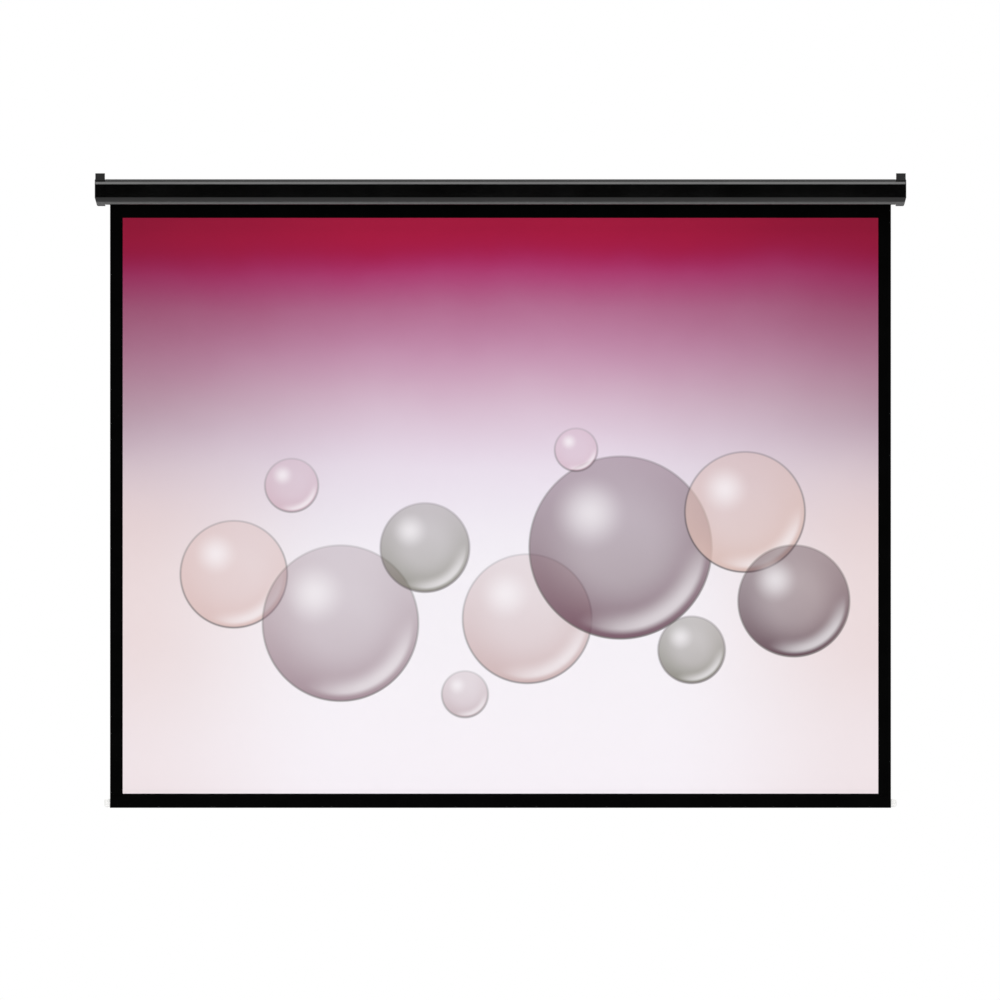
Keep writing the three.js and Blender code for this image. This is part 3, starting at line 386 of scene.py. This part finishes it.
def glassDisc(tree, place, up, colour, x, z, radius, tint, above, below):
    # over the colour: the tint, deeper towards the rim; a glint up on the left, a crescent low on the right; the rim
    away = vectorStep(tree, "SUBTRACT", "Vector", {0: place, 1: (x, z, 0)})
    away = vectorStep(tree, "SCALE", "Vector", {0: away, "Scale": 1 / radius})
    far = vectorStep(tree, "LENGTH", "Value", {0: away})
    strength = fit(tree, up, above, below, z + radius, z - radius)
    inside = ramped(tree, far, (1, 0, 1 - picture["soft"] / radius, 1))
    body = calculate(tree, "MULTIPLY", strength, ramped(tree, far, picture["body"]))
    colour = mixColours(tree, calculate(tree, "MULTIPLY", inside, body), colour, linear(*tint))
    glint = vectorStep(tree, "DISTANCE", "Value", {0: away, 1: picture["glint"]})
    shine = calculate(tree, "MULTIPLY", inside, ramped(tree, glint, picture["glintFade"]))
    facing = vectorStep(tree, "DOT_PRODUCT", "Value", {0: away, 1: picture["crescent"]})
    crescent = calculate(
        tree, "MULTIPLY", ramped(tree, far, picture["crescentInner"]), ramped(tree, far, picture["crescentOuter"]))
    crescent = calculate(tree, "MULTIPLY", crescent, ramped(tree, facing, picture["crescentFade"]))
    colour = mixColours(tree, calculate(tree, "MAXIMUM", shine, crescent), colour, linear(*picture["light"]))
    ring = calculate(tree, "ABSOLUTE", calculate(tree, "SUBTRACT", far, 1))
    ring = ramped(tree, ring, (picture["rimStrength"], 0, 0, picture["rimWidth"] / radius))
    return mixColours(tree, calculate(tree, "MULTIPLY", ring, strength), colour, linear(*picture["rim"]))


def washColour(tree, place, up, sideways):
    # a ramp of the height, which slow clouds shift a little, then dusk high at the sides and a paler tone low down
    height = fit(tree, up, 0, 1, picture["top"], picture["bottom"])
    clouds = calculate(tree, "SUBTRACT", noise(tree, place, *picture["clouds"]), 0.5)
    height = calculate(tree, "ADD", height, calculate(tree, "MULTIPLY", clouds, picture["cloudShift"]))
    ramp = addNode(tree, "ShaderNodeValToRGB", {"Fac": height})
    ramp.color_ramp.interpolation = "B_SPLINE"
    stops = ramp.color_ramp.elements
    while len(stops) < len(picture["wash"]):
        stops.new(0.5)
    for stop, (position, colour) in zip(stops, picture["wash"]):
        stop.position = position
        stop.color = linear(*colour)
    across, down = ramped(tree, sideways, picture["duskAcross"]), ramped(tree, height, picture["duskDown"])
    dusk = calculate(tree, "MULTIPLY", across, down)
    colour = mixColours(tree, dusk, ramp.outputs["Color"], linear(*picture["dusk"]))
    begin, end = ramped(tree, height, picture["sidesBegin"]), ramped(tree, height, picture["sidesEnd"])
    across = ramped(tree, sideways, picture["sidesAcross"])
    side = calculate(tree, "MULTIPLY", across, calculate(tree, "MULTIPLY", begin, end))
    return mixColours(tree, side, colour, linear(*picture["sides"]))


def pictureMaterial():
    # the wash with each disc laid over what is there, and bare white cloth outside the opening
    material, tree, shader = newMaterial("picture cloth", Roughness=0.85, **{"Specular IOR Level": 0.1})
    place = coordinates(tree, surface=True)
    split = addNode(tree, "ShaderNodeSeparateXYZ", {"Vector": place})
    sideways, up = calculate(tree, "ABSOLUTE", split.outputs["X"]), split.outputs["Y"]
    colour = washColour(tree, place, up, sideways)
    for disc in picture["discs"]:
        colour = glassDisc(tree, place, up, colour, *disc)
    edge = picture["edge"]
    shown = calculate(
        tree, "MULTIPLY", fit(tree, sideways, 1, 0, picture["half"] + edge, picture["half"] + 2 * edge),
        fit(tree, up, 1, 0, picture["top"] + edge, picture["top"] + 2 * edge))
    colour = mixColours(tree, shown, linear(*picture["cloth"]), colour)
    tree.links.new(colour, shader.inputs["Base Color"])
    bump(tree, shader, weaveHeight(tree, place), weave["depth"], 0.5)
    return material


pictureCloth = pictureMaterial()
print("finishes ready")


# The camera, the light and the floor

studio = {
    "camera": (-0.001125, -4.0, -0.693), "view": 2.25,
    "floor": -1.6, "floorReach": 8.0, "floorClouds": (3, 4), "floorTones": ((241, 241, 241), (244, 244, 244)),
    "even": 0.80, "around": 0.85, "darkFrom": 0.15, "darkTo": 0.55,
    "lamps": {  # place, target, width and height, watts, and what doesn't see the lamp
        "softbox above": ((0, -1.15, 2.4), (0, -0.03, 0), (3.6, 0.9), 44, []),
        "softbox left": ((-2.9, -2.2, 0.2), (0, 0, -0.7), (1.4, 1.4), 8, ["visible_glossy"]),
        "softbox right": ((2.9, -2.2, 0.2), (0, 0, -0.7), (1.4, 1.4), 8, ["visible_glossy"]),
        # this one only draws the light line along the case's lower edge
        "strip below": ((0, -0.36, -1.55), (0, -0.05, 0), (3.0, 0.34), 8, ["visible_camera", "visible_diffuse"]),
    },
}


def lightFromAround():
    # white to the camera; even to matt surfaces; to glossy ones bright all round but dark in front
    world = bpy.data.worlds.new("studio")
    bpy.context.scene.world = world
    world.use_nodes = True
    tree = world.node_tree
    tree.nodes.clear()
    path = addNode(tree, "ShaderNodeLightPath")
    direction = addNode(tree, "ShaderNodeTexCoord").outputs["Generated"]
    split = addNode(tree, "ShaderNodeSeparateXYZ", {"Vector": direction})
    front = calculate(tree, "MULTIPLY", split.outputs["Y"], -1)
    gloss = fit(tree, front, studio["around"], 0, studio["darkFrom"], studio["darkTo"], smooth=True)
    change = calculate(tree, "SUBTRACT", gloss, studio["even"])
    level = calculate(tree, "ADD", calculate(tree, "MULTIPLY", path.outputs["Is Glossy Ray"], change), studio["even"])
    seen = calculate(tree, "MAXIMUM", path.outputs["Is Camera Ray"], path.outputs["Is Transmission Ray"])
    rest = calculate(tree, "SUBTRACT", 1, seen)
    strength = calculate(tree, "ADD", seen, calculate(tree, "MULTIPLY", rest, level))
    sky = addNode(tree, "ShaderNodeBackground", {"Color": (1, 1, 1, 1), "Strength": strength})
    output = addNode(tree, "ShaderNodeOutputWorld")
    tree.links.new(sky.outputs[0], output.inputs[0])


def addLamp(name, place, target, size, power, unseen):
    lamp = bpy.data.lights.new(name, "AREA")
    lamp.shape = "RECTANGLE"
    lamp.size, lamp.size_y = size
    lamp.energy = power
    made = bpy.data.objects.new(name, lamp)
    made.location = place
    made.rotation_euler = (Vector(target) - Vector(place)).to_track_quat("-Z", "Y").to_euler()
    for setting in unseen:
        setattr(made, setting, False)
    bpy.context.scene.collection.objects.link(made)


lightFromAround()
for name, look in studio["lamps"].items():
    addLamp(name, *look)

camera = bpy.data.objects.new("camera", bpy.data.cameras.new("camera"))
camera.data.type = "ORTHO"
camera.data.ortho_scale = studio["view"]
camera.location = studio["camera"]
camera.rotation_euler = (math.pi / 2, 0, 0)
bpy.context.scene.collection.objects.link(camera)
bpy.context.scene.camera = camera
bpy.context.scene.view_settings.view_transform = "Standard"


def addFloor():
    # a level square: x and y each from -floorReach to floorReach, z at the floor
    side = np.array([-studio["floorReach"], studio["floorReach"]])
    x, y = np.meshgrid(side, side)
    points = np.stack([x.ravel(), y.ravel(), np.full(4, studio["floor"])], axis=-1)
    material, tree, shader = newMaterial("pale floor", Roughness=0.8)
    place = coordinates(tree)
    clouds = noise(tree, place, *studio["floorClouds"])
    dark, light = (linear(*tone) for tone in studio["floorTones"])
    tree.links.new(mixColours(tree, fit(tree, clouds, 0, 1), dark, light), shader.inputs["Base Color"])
    shader.inputs["Specular IOR Level"].default_value = 0.1
    addPiece("floor", points, np.array([[0, 1, 3, 2]]), material)


addFloor()
print("studio ready")


# The case: one extrusion with a hexagonal front, a fabric slot with lips, and four screw ports

case = {
    "half": 888.8, "depth": 59.98, "halfHeight": 28.64, "wall": 1.4, "stations": 13,
    # corners of the front: in from the front face, up from the bottom or down from the top, and the rounding
    "lowerFront": [(9.4, 0, 4), (3, 8, 20), (0, 16.1, 5)], "upperFront": [(0, 11.3, 1), (3.5, 5.8, 1), (12, 0, 2.5)],
    "rearBevel": 8, "rearRound": 2.5, "floorRound": 0.3, "arcStep": 6,
    "slotFront": -20.065, "slotRear": -10.065, "lipTop": -23.24, "lipRound": 0.5,
    "portOuter": 3.1, "portInner": 1.8, "portSlit": 1.4, "outerSteps": 40, "innerSteps": 30,
    "ports": [  # y, z and the way into the case
        (-50.73, -22.20, (0.781, 0.625)), (-6.76, -21.88, (-0.707, 0.707)),
        (-6.76, 21.88, (-0.707, -0.707)), (-54.94, 18.0, (0.844, -0.537)),
    ],
}


def caseOutline():
    # outside from the slot's front lip round to its rear lip, then back along the inside wall
    front, top, bottom = -case["depth"], case["halfHeight"], -case["halfHeight"]
    outer = [(front + y, bottom + z, rounding) for y, z, rounding in case["lowerFront"]]
    outer += [(front + y, top - z, rounding) for y, z, rounding in case["upperFront"]]
    bevel, rounding = case["rearBevel"], case["rearRound"]
    rear = [(-bevel, top), (0, top - bevel), (0, bottom + bevel), (-bevel, bottom)]
    outer += [(y, z, rounding) for y, z in rear]
    inner = insetCorners(outer, case["wall"])
    wall, lip, edge, inside = case["wall"], case["lipTop"], case["lipRound"], case["floorRound"]
    slotFront, slotRear, floor = case["slotFront"], case["slotRear"], bottom + wall
    corners = [(slotFront, lip, edge), (slotFront, bottom, edge)] + outer
    corners += [(slotRear, bottom, edge), (slotRear, lip, edge)]
    corners += [(slotRear + wall, lip, edge), (slotRear + wall, floor, inside)]
    corners += inner[::-1] + [(slotFront - wall, floor, inside), (slotFront - wall, lip, edge)]
    return roundedLine(corners, True, case["arcStep"])


def portOutline(y, z, inward):
    # a C: outer arc from slit to slit, then the inner arc back
    facing = math.atan2(inward[1], inward[0])
    outer, inner, slit = case["portOuter"], case["portInner"], case["portSlit"] / 2
    outerFrom, innerFrom = math.asin(slit / outer), math.asin(slit / inner)
    a = np.linspace(outerFrom, 2 * math.pi - outerFrom, case["outerSteps"]) + facing
    b = np.linspace(2 * math.pi - innerFrom, innerFrom, case["innerSteps"]) + facing
    outside, inside = (np.stack([np.cos(angle), np.sin(angle)], axis=-1) for angle in (a, b))
    return np.concatenate([outer * outside, inner * inside]) + (y, z)


def carried(outline, stations, first=0):
    # the outline carried along X as a closed bar: its points, its side quads and its two end faces
    if np.sum(outline[:, 0] * np.roll(outline[:, 1], -1) - np.roll(outline[:, 0], -1) * outline[:, 1]) > 0:
        outline = outline[::-1]
    points = alongX(outline, stations)
    rows, columns = len(stations), len(outline)
    quads = gridQuads(rows, columns, closed=True)[:, ::-1] + first
    ends = [np.arange(columns) + first, np.arange(columns)[::-1] + (rows - 1) * columns + first]
    return points, quads, ends


def makeCase():
    # the case's outline and its four ports, each with the same section at every x between the case's ends
    stations = np.linspace(-case["half"], case["half"], case["stations"])
    points, quads, ends, first = [], [], [], 0
    for outline in [caseOutline()] + [portOutline(*port) for port in case["ports"]]:
        bar, sides, caps = carried(outline, stations, first)
        first += len(bar)
        points.append(bar)
        quads.append(sides)
        ends += caps
    points, quads = np.concatenate(points) * mm, np.concatenate(quads)
    made = addPiece("caseExtrusion", points, quads, casePaint, ends, sharpAngle=24)
    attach(made, "housing")
    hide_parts("case_shell")


makeCase()
print("case ready")


# The cloth: three plies that hang from the roller, the border strips, the hem and the turns on the roller

cloth = {
    "half": 878.5, "opening": 850.0, "top": -0.3, "pictureTop": -58.24, "hemTop": -1353.74,
    "middle": -15.065, "white": 0.22, "black": 0.12, "border": 0.08, "travel": 1324.0,
    "columnWidth": 24, "rowsAbove": 3, "rowsBelow": 56, "columns": 37,
    "wave": 0.35, "holdPower": 1.5,
    "longWave": (0.6, 260, 1.1), "crossWave": (0.4, 117, 420),  # each wave's share, and its lengths and start
    # how far the middle of each ply stands behind the front face, which is half the three plies before the middle
    "halfThickness": 0.23, "whiteAt": 0.21, "blackAt": 0.40, "borderAt": 0.04,
}


def clothOffset(x, z):
    # how far the hanging cloth stands off its plane: slow waves that die out at the roller and the hem
    down = np.clip((cloth["top"] - z) / (cloth["top"] - cloth["hemTop"]), 0, 1)
    hold = np.sin(math.pi * down) ** cloth["holdPower"]
    share, length, start = cloth["longWave"]
    crossShare, crossLength, fall = cloth["crossWave"]
    waves = share * np.sin(x / length + start) + crossShare * np.sin(x / crossLength - z / fall)
    return cloth["wave"] * hold * waves


def hangingStrip(name, x0, x1, z1, ply, material, replaced):
    # a flat strip of the sheet from the roller down to z1, on the shared rows, with the sheet's own slow waves
    columns = max(2, round((x1 - x0) / cloth["columnWidth"]) + 1)
    x, z = np.linspace(x0, x1, columns), hangingRows[hangingRows >= z1 - 0.01]
    gridX, gridZ = np.meshgrid(x, z)
    y = cloth["middle"] - cloth["halfThickness"] + cloth[ply + "At"] + clothOffset(gridX, gridZ)
    middle = np.stack([gridX, y, gridZ], axis=-1) * mm
    made = addCloth(name, middle, cloth[ply] * mm, material, middle[:, :, [0, 2]])
    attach(made, "housing")
    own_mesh(made)
    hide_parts(replaced)


hangingRows = np.concatenate([
    np.linspace(cloth["top"], cloth["pictureTop"], cloth["rowsAbove"] + 1)[:-1],
    np.linspace(cloth["pictureTop"], cloth["hemTop"], cloth["rowsBelow"])])
half, opening, hemTop = cloth["half"], cloth["opening"], cloth["hemTop"]
hangingStrip(
    "screenCloth", -half, half, hemTop, "white", pictureCloth,
    "white_fabric")
hangingStrip(
    "blackBacking", -half, half, hemTop, "black", backingCloth,
    "black_backing")
hangingStrip(
    "borderTop", -opening, opening, cloth["pictureTop"], "border", blackCloth,
    "black_mask")
for name, x0, x1 in (("borderLeft", -half, -opening), ("borderRight", opening, half)):
    hangingStrip(
        name, x0, x1, hemTop, "border", blackCloth,
        "black_mask")


def clothAlongX(name, line, thickness, material, body, node):
    # a line (y, z) in the end view, drawn out across the cloth's width; u is x and v the way along the line
    steps = np.linalg.norm(np.diff(line, axis=0), axis=1)
    way = np.concatenate([[0], np.cumsum(steps)]) * mm
    x = np.linspace(-cloth["half"], cloth["half"], cloth["columns"]) * mm
    acrossX, alongY = np.meshgrid(x, line[:, 0] * mm)
    alongZ = np.repeat(line[:, 1:] * mm, len(x), axis=1)
    surface = np.stack([acrossX, np.repeat(way[:, None], len(x), axis=1)], axis=-1)
    made = addCloth(name, np.stack([acrossX, alongY, alongZ], axis=-1), thickness * mm, material, surface)
    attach(made, body)
    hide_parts(node)
    print(name, "is cut", round(float(way[-1]) / mm, 1), "mm long")


hem = {
    "weld": 4.0, "weldRound": 2, "half": 5.28, "shoulder": -1361.74, "shoulderRound": 2.5, "bottom": -1385.51,
    "bottomRound": 5.23, "layer": 0.235, "thickness": 0.45, "arcStep": 6,
}


def hemLine():
    # down the front layer, out round the bar and up the back layer to the weld's top
    y, layer, half = cloth["middle"], hem["layer"], hem["half"]
    weldBottom, weldRound = cloth["hemTop"] - hem["weld"], hem["weldRound"]
    down = [
        (-layer, cloth["hemTop"], 0), (-layer, weldBottom, weldRound),
        (-half, hem["shoulder"], hem["shoulderRound"]), (-half, hem["bottom"], hem["bottomRound"]),
    ]
    up = [(-across, z, rounding) for across, z, rounding in down[::-1]]
    return roundedLine([(y + across, z, rounding) for across, z, rounding in down + up], False, hem["arcStep"])


clothAlongX("hemPocket", hemLine(), hem["thickness"], blackCloth, "weight_bar", "hem_pocket")

wraps = {"axis": -33.04, "inner": 17.03, "pitch": 0.54, "turns": 1.75, "steps": 127, "thickness": 0.46}


def wrapLine():
    # a spiral: radius = inner + pitch x turn, at the angle 360 (turns - turn) degrees from the wall
    turn = np.linspace(0, wraps["turns"], wraps["steps"])
    radius = wraps["inner"] + wraps["pitch"] * turn
    angle = 2 * math.pi * (wraps["turns"] - turn)
    return np.stack([wraps["axis"] + radius * np.cos(angle), radius * np.sin(angle)], axis=-1)


clothAlongX(
    "fabricOnRoller", wrapLine(), wraps["thickness"], backingCloth, "roller", "fabric_wraps")
print("cloth ready")


# The bar's white end caps

barCap = {
    "from": 878.8, "length": 12.6, "spigot": 22.0, "middle": -15.065, "bottom": -1383.98, "top": -1365.98,
    "halfDepth": 3.75, "toe": 6.0, "edge": 1.5, "spigotInset": 0.3, "around": 48, "toeSteps": 18,
}


def quarterRound(x, length, radius):
    # how far a quarter circle of that radius has come in at x, where the bar ends at length
    past = np.clip(x - length + radius, 0, radius)
    return radius - np.sqrt(np.clip(radius ** 2 - past ** 2, 0, None))


def makeBarCap(name, side, node):
    # rings along X: halfDepth, bottom and top of each ring shrink as quarter circles towards the end
    length, toe, around, inset = barCap["length"], barCap["toe"], barCap["around"], barCap["spigotInset"]
    sweep = np.sin(np.linspace(0, math.pi / 2, barCap["toeSteps"]))
    x = np.concatenate([np.linspace(0, length - toe, 3)[:-1], length - toe + toe * sweep])
    toeRise, edgeIn = quarterRound(x, length, toe), quarterRound(x, length, barCap["edge"])
    x = np.concatenate([[-barCap["spigot"], -0.01], x])
    half = barCap["halfDepth"] - np.concatenate([[inset, inset], edgeIn])
    bottom = barCap["bottom"] + np.concatenate([[inset, inset], np.maximum(toeRise, edgeIn)])
    top = barCap["top"] - np.concatenate([[inset, inset], edgeIn])
    angle = np.linspace(0, 2 * math.pi, around + 1)[:-1]
    centre = np.where(np.sin(angle) >= 0, (top - half)[:, None], (bottom + half)[:, None])
    y = barCap["middle"] + half[:, None] * np.cos(angle)
    z = centre + half[:, None] * np.sin(angle)
    rings = np.stack([np.repeat(side * (barCap["from"] + x)[:, None], around, axis=1), y, z], axis=-1)
    quads = gridQuads(len(x), around, closed=True)
    first, last = np.arange(around)[::-1], np.arange(around) + (len(x) - 1) * around
    if side < 0:
        quads, first, last = quads[:, ::-1], first[::-1], last[::-1]
    made = addPiece(name, rings.reshape(-1, 3) * mm, quads, whitePlastic, [first, last], sharpAngle=40)
    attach(made, "weight_bar")
    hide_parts(node)


makeBarCap("barCapLeft", -1, "bar_cap_left")
makeBarCap("barCapRight", 1, "bar_cap_right")

# The torsion spring: a wire wound round the roller's axis, straight where it enters its two anchors

spring = {
    "radius": 12.0, "wire": 0.8, "turns": 24, "tang": 6.4, "axis": -33.04,
    "perTurn": 28, "sides": 12, "easeSteps": 11,
}


def makeSpring():
    # path = (x, radius cos a, radius sin a); a runs evenly between the tangs and eases in over a sixth of a turn
    low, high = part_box("torsion_spring")
    x = np.linspace(low.x, high.x, spring["turns"] * spring["perTurn"]) / mm
    wound = np.clip((x - x[0] - spring["tang"]) / (x[-1] - x[0] - 2 * spring["tang"]), 0, 1) * spring["turns"]
    ease = np.hanning(spring["easeSteps"])
    wound = np.pad(wound, spring["easeSteps"] // 2, mode="edge")
    a = 2 * math.pi * np.convolve(wound, ease / ease.sum(), mode="valid")
    path = np.stack([x, spring["axis"] + spring["radius"] * np.cos(a), spring["radius"] * np.sin(a)], axis=-1)
    along = np.gradient(path, axis=0)
    along /= np.linalg.norm(along, axis=1)[:, None]
    outward = np.stack([np.zeros_like(a), np.cos(a), np.sin(a)], axis=-1)
    outward -= along * np.sum(along * outward, axis=1)[:, None]
    outward /= np.linalg.norm(outward, axis=1)[:, None]
    sideways = np.cross(along, outward)
    b = np.linspace(0, 2 * math.pi, spring["sides"] + 1)[:-1]
    ring = outward[:, None, :] * np.cos(b)[None, :, None] + sideways[:, None, :] * np.sin(b)[None, :, None]
    points = (path[:, None, :] + spring["wire"] * ring).reshape(-1, 3) * mm
    quads = gridQuads(len(x), spring["sides"], closed=True)
    first, last = np.arange(spring["sides"])[::-1], np.arange(spring["sides"]) + (len(x) - 1) * spring["sides"]
    made = addPiece("woundSpring", points, quads, springSteel, [first, last], sharpAngle=60)
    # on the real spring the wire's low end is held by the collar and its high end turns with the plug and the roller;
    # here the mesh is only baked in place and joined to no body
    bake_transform(made)
    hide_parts("torsion_spring")


makeSpring()
print("spring ready")

# The rigid parts: copies of the frame's own solids with their edges eased, in their finishes

finishOf = {  # node's first words: finish, material slot, width of the eased edge in mm
    "end_cap": (capPlastic, "black_plastic", 0.3), "hanger": (strapPaint, "strap_paint", 0.25),
    "cap_screw": (zincPlate, "zinc_steel", 0.15), "wall_flange_screw": (zincPlate, "zinc_steel", 0.12),
    "foot_screw": (zincPlate, "zinc_steel", 0.12), "roller_tube": (millAluminium, "mill_aluminium", 0.12),
    "head_plug": (capPlastic, "black_plastic", 0.25), "idler_plug": (capPlastic, "black_plastic", 0.25),
    "spring_collar": (capPlastic, "black_plastic", 0.25), "spear_bush": (nylon, "nylon", 0.2),
    "spring_plug": (nylon, "nylon", 0.25), "idler_bush": (nylon, "nylon", 0.2),
    "spear_shaft": (zincPlate, "zinc_steel", 0.2), "ratchet_wheel": (zincPlate, "zinc_steel", 0.15),
    "pawl": (zincPlate, "zinc_steel", 0.15), "idler_pin": (zincPlate, "zinc_steel", 0.3),
    "idler_washer": (zincPlate, "zinc_steel", 0.1), "bottom_bar": (millAluminium, "mill_aluminium", 0.12),
}

easing = {"merge": 0.002 * mm, "flat": math.radians(0.6), "sharp": math.radians(32), "segments": 2}


def easedCopy(node, finish, slotName, width):
    # a merged copy of the solid: flat faces made whole, sharp edges rounded, smooth where the solid is round
    words = node.name.split("_")
    name = words[0] + "".join(word.capitalize() for word in words[1:])
    work = bmesh.new()
    work.from_mesh(node.data)
    bmesh.ops.remove_doubles(work, verts=work.verts, dist=easing["merge"])
    bmesh.ops.dissolve_limit(work, angle_limit=easing["flat"], verts=work.verts, edges=work.edges)
    mesh = bpy.data.meshes.new(name)
    work.to_mesh(mesh)
    work.free()
    mesh.shade_smooth()
    mesh.set_sharp_from_angle(angle=easing["sharp"])
    mesh.materials.append(finish)
    made = bpy.data.objects.new(name, mesh)
    bpy.context.scene.collection.objects.link(made)
    ease = made.modifiers.new("eased edges", "BEVEL")
    ease.width = width * mm
    ease.segments = easing["segments"]
    ease.limit_method = "ANGLE"
    ease.angle_limit = easing["sharp"]
    even = made.modifiers.new("even shading", "WEIGHTED_NORMAL")  # the larger face gives a shared corner its normal
    even.keep_sharp = True
    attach(made, node["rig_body"])
    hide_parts(node.name)


for name, node in frame["nodes"].items():
    match = next((look for start, look in finishOf.items() if name.startswith(start)), None)
    if match:
        easedCopy(node, *match)
print("rigid parts ready")
